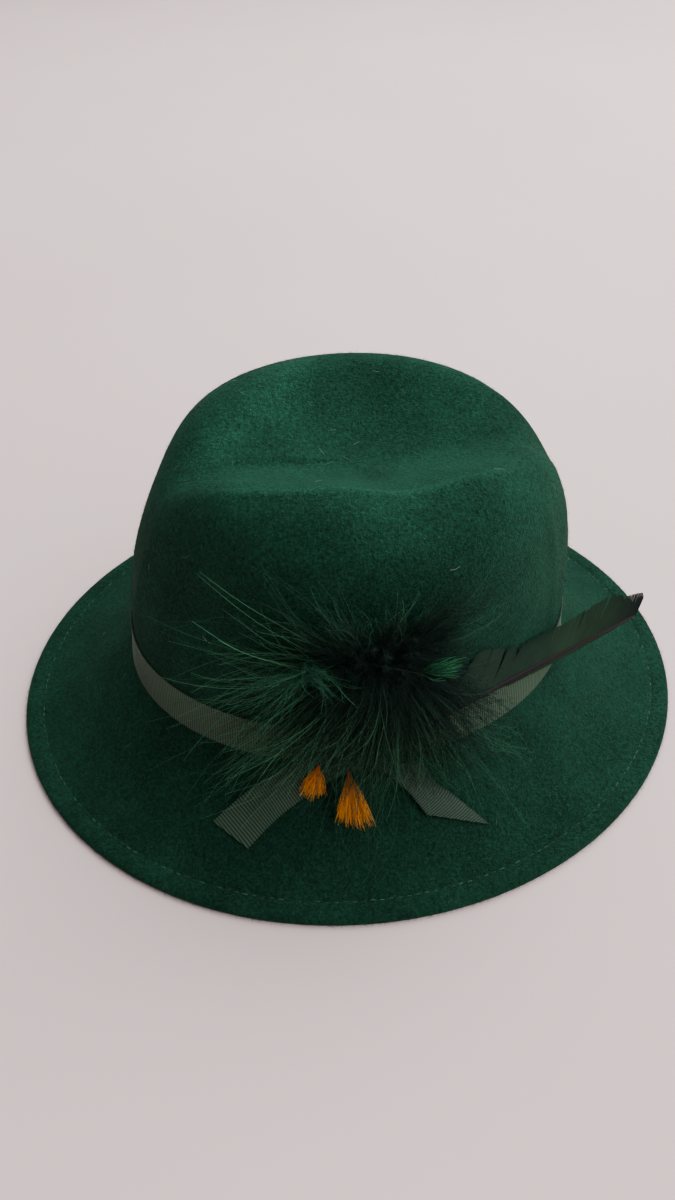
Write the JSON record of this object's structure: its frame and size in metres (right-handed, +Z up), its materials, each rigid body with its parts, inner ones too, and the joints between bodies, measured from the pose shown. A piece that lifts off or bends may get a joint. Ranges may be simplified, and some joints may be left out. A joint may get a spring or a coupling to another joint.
{
  "type": "felt hat with a ribbon band and a feather trim",
  "caption": "Blocked felt hat with a centre-dented crown, a sloping brim with a turned-under edge, a ribbed ribbon band and a fluffy feather trim on one side.",
  "frame": {"origin": "middle of the bounding box in plan, on the surface that the brim edge rests on", "axes": "+Z up, -Y towards the front of the hat, +X towards the side with the feather trim (the wearer's left)"},
  "size_m": [0.275, 0.309, 0.1434],
  "materials": {
    "felt": "brushed wool felt, matte with a soft nap",
    "ribbon": "ribbed ribbon, soft sheen",
    "down": "fluffy dyed down",
    "quill": "smooth stiff feather",
    "orange": "dyed feather strips",
    "hackle": "dyed feather tips",
    "thread": "twisted thread"
  },
  "bodies": {
    "root": {"felt_body": "felt", "hat_band": "ribbon", "ribbon_tail_front": "ribbon", "ribbon_tail_back": "ribbon", "trim_knot": "ribbon", "marabou_plume": "down", "quill_feather": "quill", "orange_feather_large": "orange", "orange_feather_small": "orange", "green_hackle": "hackle", "binding_thread": "thread"}
  },
  "joints": []
}
